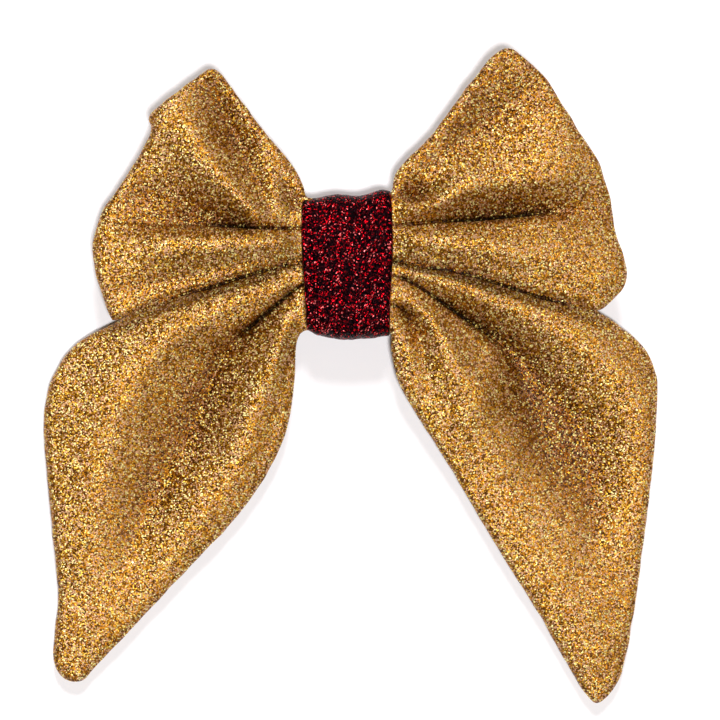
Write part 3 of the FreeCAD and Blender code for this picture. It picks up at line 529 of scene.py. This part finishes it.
def tube(name, line, radius, sides):
    """A tube of that radius along rows of x, y, z in millimetres, with flat ends."""
    line = np.array(line, float)
    run = np.gradient(line, axis=0)
    run /= np.linalg.norm(run, axis=1)[:, None]
    points, up = [], Vector((0.13, 0.21, 0.97))
    for place, along in zip(line, run):
        along = Vector(along)
        across = along.cross(up).normalized()
        up = across.cross(along).normalized()
        for n in range(sides):
            turn = 2 * math.pi * n / sides
            points.append(Vector(place) + radius * (math.cos(turn) * across + math.sin(turn) * up))
    faces = [(a + n, a + (n + 1) % sides, a + sides + (n + 1) % sides, a + sides + n)
             for a in range(0, (len(line) - 1) * sides, sides) for n in range(sides)]
    faces += [tuple(range(sides))[::-1], tuple(range((len(line) - 1) * sides, len(line) * sides))]
    return new_object(name, np.array([p[:] for p in points]), faces)


# ---- The centre band ---------------------------------------------------------------------------------

# Heights of the band's top and bottom edge across its width, where the wrapped cloth puckers.
BAND_RIM = (
    (-12.9, 19.4, -18.6), (-9.0, 19.3, -20.2), (-2.6, 20.6, -21.6), (3.4, 19.9, -21.4),
    (9.5, 21.8, -20.8), (12.9, 21.4, -20.2),
)
BAND_STEPS_ACROSS = 60
BAND_STEPS_ROUND = 300
BAND_CORNER = 4.6
BAND_WALL = 1.1
BAND_ROLL = 0.8        # how far its side edges roll in, over this share of its half width
BAND_ROLL_SHARE = 0.06
BAND_SPACING_POWER = 1.15      # the rows across it come closer together towards its side edges
BAND_CROWN = 0.5       # how far the middle of the front stands above its top and bottom
BAND_REACH = 20        # about half its height
BAND_OVERLAP = (-18.4, -9.0)
BAND_OVERLAP_THICKNESS = 1.0
BAND_LEAN = 0.45       # how far its side edges wander
BAND_LEAN_LENGTH = 7.5         # the length of those waves, divided by 2 pi
BAND_LEAN_START = 0.6
BAND_LEFT_LEAN = 0.35  # and how far the left one leans besides
# Puckers: (height, size across, size along). They move the front, above this height, up and down, and
# the top and bottom in and out, fully from PUCKER_REACH outwards.
BAND_PUCKERS = ((0.30, 3.2, 9), (0.16, 1.5, 6))
PUCKERS_ABOVE = 12
PUCKER_REACH = 16
# The wrap's end, on its back. Waves of its sewn edge: (height, waves across the band, start).
BAND_END_WAVES = ((0.3, 5.2, 0), (0.15, 2.3, 1))
BAND_END_ROUNDING = 12         # how soon its thickness is full, inwards from its rim
BAND_END_INSET = 0.5


def band_section(x, shrink):
    """(y, z, distance round) of the wrap's closed section at x, from the middle of its back."""
    low, high = (corner.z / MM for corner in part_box("centre_band"))
    rim = np.array(BAND_RIM)
    top, bottom = (float(np.interp(x, rim[:, 0], rim[:, n])) for n in (1, 2))
    top, bottom = top - shrink, bottom + shrink
    low, high = low + BAND_OVERLAP_THICKNESS + shrink, high - BAND_CROWN - shrink
    corner = BAND_CORNER - shrink
    sides = ((top - corner, low + corner, -90), (top - corner, high - corner, 0),
             (bottom + corner, high - corner, 90), (bottom + corner, low + corner, 180))
    turning = [(y + corner * math.cos(math.radians(start + step)),
                z + corner * math.sin(math.radians(start + step)))
               for y, z, start in sides for step in range(0, 91, 6)]
    outline = np.array([(0.0, low)] + turning + [(0.0, low)])
    lengths = np.concatenate([[0], np.cumsum(np.linalg.norm(np.diff(outline, axis=0), axis=1))])
    place = np.arange(BAND_STEPS_ROUND) / BAND_STEPS_ROUND * lengths[-1]
    y, z = (np.interp(place, lengths, outline[:, n]) for n in (0, 1))
    front = np.clip((z - (low + high) / 2) / (high - low) * 2, 0, 1) ** 4
    z = z + BAND_CROWN * front * np.cos(np.clip(y / BAND_REACH, -1, 1) * math.pi / 2)
    return np.column_stack([y, z, place])


def band_pucker(x, y, z):
    """The height of the puckers at a point of the band."""
    return sum(height * noise.noise(Vector((x / across, y / along, z / along)))
               for height, across, along in BAND_PUCKERS)


def band_lean(x, y, half):
    """How far sideways the band is at a point: most at its side edges."""
    share = x / half
    leaning = BAND_LEFT_LEAN * (y / BAND_REACH) * share ** 2 if x < 0 else 0
    return BAND_LEAN * math.sin(y / BAND_LEAN_LENGTH + BAND_LEAN_START) * share ** 3 - leaning


def make_band(burgundy):
    """The wrap: a soft shell with rolled side edges, slightly puckered, and its sewn-down end."""
    low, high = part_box("centre_band")
    half = (high.x - low.x) / 2 / MM
    outer = []
    for t in np.linspace(-1, 1, BAND_STEPS_ACROSS):
        reach = math.copysign(1 - (1 - abs(t)) ** BAND_SPACING_POWER, t)
        roll = max(0.0, (abs(reach) - (1 - BAND_ROLL_SHARE)) / BAND_ROLL_SHARE)
        outer.append((reach * half, BAND_ROLL * (1 - math.sqrt(max(0.0, 1 - roll ** 2)))))
    inner = [(x, BAND_WALL) for x, _ in outer[::-3]]
    points, uvs = [], []
    for n, (x, shrink) in enumerate(outer + inner):
        for y, z, place in band_section(x, shrink):
            pucker = band_pucker(x, y, z) if n < len(outer) else 0.0
            bulge = math.copysign(min(1.0, abs(y) / PUCKER_REACH), y)
            points.append((x + band_lean(x, y, half), y + pucker * bulge, z + pucker * (z > PUCKERS_ABOVE)))
            uvs.append((x, place))
    count, rows = BAND_STEPS_ROUND, len(outer) + len(inner)
    faces = [(a * count + n, a * count + (n + 1) % count, b * count + (n + 1) % count, b * count + n)
             for a, b in [(k, (k + 1) % rows) for k in range(rows)] for n in range(count)]
    end_points, end_faces = band_end(half)
    faces += [tuple(corner + len(points) for corner in face) for face in end_faces]
    points += end_points
    uvs += [(x, -y) for x, y, _ in end_points]
    piece = new_object("centre_band_wrap", np.array(points), faces, np.array(uvs))
    fix = bmesh.new()
    fix.from_mesh(piece.data)
    bmesh.ops.recalc_face_normals(fix, faces=fix.faces)
    fix.to_mesh(piece.data)
    fix.free()
    piece.data.materials.append(burgundy)
    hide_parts("centre_band")
    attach(piece, "knot")


def band_end(half):
    """The turned-under end of the wrap, lying on its back: a thin pillow with a wavy sewn edge."""
    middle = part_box("centre_band")[0].z / MM + BAND_OVERLAP_THICKNESS * 0.55
    start, end = BAND_OVERLAP
    columns, rows = 40, 16
    points, faces = [], []
    for side in (-1, 1):
        for i in range(columns + 1):
            x = -1 + 2 * i / columns
            wave = sum(height * math.sin(waves * x * math.pi + start_angle)
                       for height, waves, start_angle in BAND_END_WAVES)
            for j in range(rows + 1):
                t = j / rows
                rim = min(1 - abs(x), min(t, 1 - t) * 0.8) * BAND_END_ROUNDING
                roll = math.sqrt(max(0.0, 1 - max(0.0, 1 - rim) ** 2))
                thick = (0.1 + 0.4 * roll) * BAND_OVERLAP_THICKNESS
                y = start + (end - start + wave) * t
                points.append((x * (half - BAND_END_INSET), y, middle + side * thick))
    stride = rows + 1
    sheet = (columns + 1) * stride
    for i in range(columns):
        for j in range(rows):
            a = i * stride + j
            faces += [(a, a + 1, a + stride + 1, a + stride),
                      (sheet + a, sheet + a + stride, sheet + a + stride + 1, sheet + a + 1)]
    border = [i * stride for i in range(columns + 1)]
    border += [columns * stride + j for j in range(1, rows + 1)]
    border += [i * stride + rows for i in range(columns - 1, -1, -1)]
    border += [j for j in range(rows - 1, 0, -1)]
    for a, b in zip(border, border[1:] + border[:1]):
        faces.append((a, b, sheet + b, sheet + a))
    return points, faces


WINDING_TURNS = 7
WINDING_STEPS = 60     # in each turn
WINDING_RADIUS = 0.3
WINDING_HALF_HEIGHT = 18.9
WINDING_HALF_DEPTH = 3.9
WINDING_MIDDLE = 14.8
WINDING_SQUARENESS = (0.55, 0.45)      # powers across and up: 1 would give an ellipse


def make_gather_thread(thread):
    """Strong thread wound round the pinched cloth, under the wrap, in turns like rounded rectangles."""
    low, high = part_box("gather_thread")
    start, end = low.x / MM + WINDING_RADIUS, high.x / MM - WINDING_RADIUS
    steps = WINDING_TURNS * WINDING_STEPS
    power_across, power_up = WINDING_SQUARENESS
    line = []
    for n in range(steps + 1):
        turn = 2 * math.pi * n / WINDING_STEPS
        across, up = math.cos(turn), math.sin(turn)
        y = math.copysign(abs(across) ** power_across, across) * WINDING_HALF_HEIGHT
        z = WINDING_MIDDLE + math.copysign(abs(up) ** power_up, up) * WINDING_HALF_DEPTH
        line.append((start + (end - start) * n / steps, y, z))
    piece = tube("gather_winding", line, WINDING_RADIUS, 8)
    piece.data.materials.append(thread)
    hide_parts("gather_thread")
    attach(piece, "knot")


RIB_SPACING = 0.8
RIB_HEIGHT = 0.06      # half the depth of the grooves between the ribs
PICOT = 0.10           # how far the woven edge waves in and out
LINER_INSET = 0.05     # how far that edge lies inside the liner's full width


def make_liner(grosgrain):
    """The grosgrain ribbon on the plate: ribs across it and a fine woven edge."""
    half, width, radius, top = liner_arch()
    columns, rows = round(2 * half / (RIB_SPACING / 4)), 14
    points, faces = [], []
    for side in (1, 0):
        for i in range(columns + 1):
            x = -half + 2 * half * i / columns
            crown = top - (radius - math.sqrt(radius ** 2 - x ** 2))
            wave = math.cos(2 * math.pi * x / RIB_SPACING)
            rib = RIB_HEIGHT * (wave - 1)
            for j in range(rows + 1):
                y = width * (-1 + 2 * j / rows)
                picot = PICOT * wave if j in (0, rows) else 0
                z = crown + rib if side else crown - LINER_THICKNESS - rib
                points.append((x, y * (1 + picot / width) - LINER_INSET * math.copysign(1, y), z))
    stride, sheet = rows + 1, (columns + 1) * (rows + 1)
    for i in range(columns):
        for j in range(rows):
            a = i * stride + j
            faces += [(a, a + stride, a + stride + 1, a + 1),
                      (sheet + a, sheet + a + 1, sheet + a + stride + 1, sheet + a + stride)]
        for a in (i * stride, i * stride + rows):
            quad = (a, a + stride, sheet + a + stride, sheet + a)
            faces.append(quad if a % stride else quad[::-1])
    for start in (0, columns * stride):
        for j in range(rows):
            a = start + j
            quad = (a, a + 1, sheet + a + 1, sheet + a)
            faces.append(quad if start == 0 else quad[::-1])
    piece = new_object("grosgrain_liner", np.array(points), faces)
    piece.data.materials.append(grosgrain)
    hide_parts("plate_liner")
    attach(piece, "knot")


# ---- Materials ---------------------------------------------------------------------------------------


def srgb(*rgb):
    """A colour given from 0 to 255 as a screen shows it, as the linear colour that shaders use."""
    return tuple((c / 255 / 12.92) if c <= 10 else ((c / 255 + 0.055) / 1.055) ** 2.4 for c in rgb) + (1,)


class Nodes:
    """A new material whose nodes are made by name."""

    def __init__(self, name):
        self.material = bpy.data.materials.new(name)
        self.material.use_nodes = True
        self.tree = self.material.node_tree
        self.shader = self.tree.nodes["Principled BSDF"]

    def add(self, kind, inputs=(), **settings):
        """A new node. Each input that is given as a socket is linked, and any other is set."""
        node = self.tree.nodes.new("ShaderNode" + kind)
        for key, value in settings.items():
            setattr(node, key, value)
        for socket, value in dict(inputs).items():
            if isinstance(value, bpy.types.NodeSocket):
                self.tree.links.new(value, node.inputs[socket])
            else:
                node.inputs[socket].default_value = value
        return node

    def link(self, source, socket):
        """The source drives that input of the shader."""
        self.tree.links.new(source, self.shader.inputs[socket])

    def math(self, operation, a, b):
        return self.add("Math", {0: a, 1: b}, operation=operation).outputs[0]

    def vector_math(self, operation, a, b):
        socket = "Scale" if operation == "SCALE" else 1
        return self.add("VectorMath", {0: a, socket: b}, operation=operation).outputs[0]

    def ramp(self, factor, stops, interpolation="LINEAR"):
        """A colour for each factor, from stops of (factor, colour)."""
        node = self.add("ValToRGB", {0: factor})
        node.color_ramp.interpolation = interpolation
        band = node.color_ramp.elements
        band[0].position, band[0].color = stops[0]
        band[1].position, band[1].color = stops[-1]
        for position, colour in stops[1:-1]:
            band.new(position).color = colour
        return node.outputs[0]


def centred(made, colour, scale):
    """A colour whose channels go from 0 to 1, as a vector about zero."""
    return made.vector_math("SCALE", made.vector_math("SUBTRACT", colour, (0.5, 0.5, 0.5)), scale)


def flecks_of(made, fleck_size):
    """(a random colour for each fleck, distance from its rim). Flecks are cells bent by broader noise."""
    place = made.add("UVMap", uv_map="cloth").outputs[0]
    warp = made.add("TexNoise", {"Vector": place, "Scale": 1 / (YARN_TWIST * MM), "Detail": 1.0})
    bent = centred(made, warp.outputs["Color"], FLECK_BENDING * fleck_size * MM)
    moved = made.vector_math("ADD", place, bent)
    wanted = {"Vector": moved, "Scale": 1 / (fleck_size * MM), "Randomness": 1.0}
    cells = made.add("TexVoronoi", wanted)
    rims = made.add("TexVoronoi", wanted, feature="DISTANCE_TO_EDGE")
    return cells.outputs["Color"], rims.outputs["Distance"]


def glitter_knit(name, flecks, ground, fleck_size, metallic, tilt, roughness, sheen):
    """A knit of twisted foil yarn: short flecks that each face their own way over a dull ground.

    The flecks' colours and metallic are ramps over a random number that each fleck has.
    """
    made = Nodes(name)
    chance, rim = flecks_of(made, fleck_size)
    pick = made.add("SeparateColor", {0: chance}).outputs
    colour = made.ramp(pick[0], flecks, "CONSTANT")
    on_fleck = made.ramp(rim, ((0.0, (0, 0, 0, 1)), (FLECK_RIM, (1, 1, 1, 1))))
    yarn = made.add("Mix", {0: on_fleck, 6: ground, 7: colour}, data_type="RGBA").outputs[2]
    # Painted shade from the cloth's shade attribute: valleys and creases are darkened, deepened in colour
    # and mixed towards a near-black brown.
    shade = made.add("Attribute", attribute_name="shade").outputs["Fac"]
    shade = made.math("MULTIPLY", shade, made.ramp(pick[0], FLECK_DIMMING, "CONSTANT"))
    deeper = made.math("ADD", made.math("MULTIPLY", shade, SHADE_DEEPENS), 1.0)
    yarn = made.add("Gamma", {"Color": yarn, "Gamma": deeper}).outputs[0]
    shaded = made.add("Mix", {0: shade, 6: yarn, 7: PAINTED_SHADE_COLOUR}, data_type="RGBA").outputs[2]
    made.link(shaded, "Base Color")
    mirrored = made.ramp(pick[0], metallic, "CONSTANT")
    made.link(made.math("MULTIPLY", on_fleck, mirrored), "Metallic")
    uneven = made.math("MULTIPLY", pick[1], ROUGHNESS_SPREAD)
    made.link(made.math("ADD", uneven, roughness), "Roughness")
    facing = made.add("NewGeometry").outputs["Normal"]
    tipped = made.vector_math("ADD", facing, centred(made, chance, tilt))
    tipped = made.add("VectorMath", {0: tipped}, operation="NORMALIZE").outputs[0]
    bump = made.add("Bump", {"Height": rim, "Normal": tipped, "Distance": 0.25 * MM, "Strength": 0.6})
    made.link(bump.outputs[0], "Normal")
    made.shader.inputs["Specular IOR Level"].default_value = sheen
    return made.material


def darker(colour, share):
    """That share of the colour's light."""
    return tuple(c * share for c in colour[:3]) + (1,)


def plain_weave(name, colour, thread_size, roughness=0.85):
    """A matt cloth or thread with a fine over-and-under bump."""
    made = Nodes(name)
    place = made.add("TexCoord").outputs["Object"]
    wave = made.add("TexWave", {"Vector": place, "Scale": 1 / (thread_size * MM * 20), "Distortion": 2.0})
    shade = made.ramp(wave.outputs["Fac"], ((0.0, darker(colour, 0.7)), (1.0, colour)))
    made.link(shade, "Base Color")
    made.shader.inputs["Roughness"].default_value = roughness
    bump = made.add("Bump", {"Height": wave.outputs["Fac"], "Distance": 0.08 * MM, "Strength": 0.7})
    made.link(bump.outputs[0], "Normal")
    return made.material


def plated_steel(name, colour, roughness):
    """Nickel-plated pressed strip with fine marks drawn along X and small dull patches."""
    made = Nodes(name)
    place = made.add("TexCoord").outputs["Object"]
    marks = made.add("Mapping", {"Vector": place, "Scale": (150, 9000, 9000)})
    grain = made.add("TexNoise", {"Vector": marks.outputs[0], "Scale": 1.0, "Detail": 3.0})
    patch = made.add("TexNoise", {"Vector": place, "Scale": 260.0, "Detail": 2.0})
    shade = made.ramp(patch.outputs["Fac"], ((0.35, darker(colour, 0.8)), (0.65, colour)))
    made.link(shade, "Base Color")
    made.shader.inputs["Metallic"].default_value = 1.0
    uneven = made.math("MULTIPLY", grain.outputs["Fac"], 0.18)
    made.link(made.math("ADD", uneven, roughness), "Roughness")
    bump = made.add("Bump", {"Height": grain.outputs["Fac"], "Distance": 0.02 * MM, "Strength": 0.35})
    made.link(bump.outputs[0], "Normal")
    return made.material


def grey(value):
    """A plain value, as the colour that a ramp takes."""
    return (value, value, value, 1)


YARN_TWIST = 1.6       # size of the noise that bends the flecks, and how far it does, in flecks
FLECK_BENDING = 1.3
FLECK_RIM = 0.12       # the dark ground shows this near a fleck's rim, in flecks
ROUGHNESS_SPREAD = 0.22
# The near-black brown that painted shade mixes towards.
PAINTED_SHADE_COLOUR = (0.006, 0.003, 0.001, 1)
SHADE_DEEPENS = 0.9    # painted shade also deepens the yarn's colour, by this share of it added to the gamma

# Ramps over each fleck's random number, which say what share of the flecks has which look. The first is
# how much of the painted shade of valleys and creases falls on a fleck: the brightest, partly painted
# glints, keep most of it off.
FLECK_DIMMING = ((0.00, grey(1)), (0.79, grey(0.8)), (0.89, grey(0.4)))
# The brightest gold class, pale yellow and only partly metallic, is partly painted glint that stays bright
# in shade.
GOLD_FLECKS_AND_GLINTS = (
    (0.00, srgb(96, 58, 10)), (0.22, srgb(178, 114, 22)), (0.42, srgb(204, 146, 44)),
    (0.58, srgb(216, 168, 126)), (0.79, srgb(240, 196, 76)), (0.89, srgb(255, 240, 160)),
)
GOLD_METAL = (
    (0.00, grey(0.6)), (0.22, grey(0.9)), (0.58, grey(0.45)), (0.79, grey(0.8)), (0.89, grey(0.45)),
)
# The brightest burgundy class, pinkish white, is partly painted glint.
BURGUNDY_FLECKS_AND_GLINTS = (
    (0.00, srgb(8, 1, 4)), (0.50, srgb(34, 1, 6)), (0.70, srgb(86, 1, 9)),
    (0.84, srgb(230, 8, 28)), (0.95, srgb(255, 116, 118)),
)
BURGUNDY_METAL = ((0.00, grey(1)), (0.95, grey(0.7)))

gold = glitter_knit("gold_glitter_knit", GOLD_FLECKS_AND_GLINTS, ground=srgb(88, 50, 8), fleck_size=0.40,
                    metallic=GOLD_METAL, tilt=0.5, roughness=0.30, sheen=0.2)
burgundy = glitter_knit("burgundy_glitter_knit", BURGUNDY_FLECKS_AND_GLINTS, ground=srgb(8, 1, 3), fleck_size=0.38,
                        metallic=BURGUNDY_METAL, tilt=0.75, roughness=0.24, sheen=0.05)
fleece = plain_weave("white_fleece", srgb(228, 226, 218), 0.5)
gold_thread = plain_weave("gold_thread", srgb(186, 150, 84), 0.2, 0.6)
white_thread = plain_weave("waxed_white_thread", srgb(222, 220, 212), 0.2, 0.5)
burgundy_thread = plain_weave("burgundy_thread", srgb(74, 14, 24), 0.15, 0.6)
grosgrain = plain_weave("tan_grosgrain", srgb(164, 132, 82), 0.8, 0.7)
glue = plain_weave("cloudy_glue", srgb(226, 222, 206), 1.5, 0.35)
steel = plated_steel("nickel_plate", srgb(205, 204, 202), 0.24)
spring = plated_steel("spring_steel", srgb(178, 179, 182), 0.3)

for arm in ARMS:
    make_cloth(arm, gold, fleece, gold_thread)
make_band(burgundy)
make_gather_thread(white_thread)
make_liner(grosgrain)
for node, metal in (("barrette_plate", steel), ("hinge_pin", steel), ("clasp_arm", steel),
                    ("catch_base", steel), ("tension_bar", spring), ("catch_tongue_upper", spring),
                    ("catch_tongue_lower", spring), ("glue_pad", glue),
                    ("band_closing_stitches", burgundy_thread)):
    for holder in frame["nodes"][node].material_slots:
        holder.material = metal

# ---- Floor, light and camera -------------------------------------------------------------------------

VIEW_WIDTH = 208.4 * MM      # what the picture takes in, at the height of the bow's front
VIEW_MIDDLE = (3.6 * MM, -27.4 * MM, 12 * MM)
LENS = 200.0
SENSOR = 36.0
LAMP_COLOUR = (1.0, 0.97, 0.97)
LAMPS_AIM = (0, -0.03, 0.01)


def make_floor():
    """A plain pale floor that the bow lies on."""
    bpy.ops.mesh.primitive_plane_add(size=6, location=(0, 0, 0))
    floor = bpy.context.object
    floor.name = "floor"
    made = Nodes("pale_floor")
    made.shader.inputs["Base Color"].default_value = (0.86, 0.87, 0.9, 1)
    made.shader.inputs["Roughness"].default_value = 0.9
    floor.data.materials.append(made.material)


def make_light(name, place, size, energy):
    """A round soft light that faces the bow."""
    lamp = bpy.data.lights.new(name, "AREA")
    lamp.shape, lamp.size, lamp.energy, lamp.color = "DISK", size, energy, LAMP_COLOUR
    thing = bpy.data.objects.new(name, lamp)
    thing.location = place
    aim = Vector(LAMPS_AIM) - Vector(place)
    thing.rotation_euler = aim.to_track_quat("-Z", "Y").to_euler()
    bpy.context.scene.collection.objects.link(thing)


def make_world():
    """A dim warm surround."""
    world = bpy.data.worlds.new("studio")
    world.use_nodes = True
    background = world.node_tree.nodes["Background"]
    background.inputs["Color"].default_value = (1.0, 0.80, 0.54, 1)
    background.inputs["Strength"].default_value = 0.12
    bpy.context.scene.world = world


def make_camera():
    """A long lens straight above the bow, with the top of the bow at the top of the picture."""
    data = bpy.data.cameras.new("camera")
    data.lens, data.sensor_width = LENS, SENSOR
    camera = bpy.data.objects.new("camera", data)
    x, y, z = VIEW_MIDDLE
    camera.location = (x, y, z + VIEW_WIDTH / SENSOR * LENS)
    bpy.context.scene.collection.objects.link(camera)
    bpy.context.scene.camera = camera


make_floor()
make_light("key", (0.05, 1.15, 1.40), size=0.40, energy=19.0)
make_light("front", (0.12, -0.25, 2.0), size=0.25, energy=37.0)
make_world()
make_camera()
bpy.context.scene.view_settings.view_transform = "Standard"
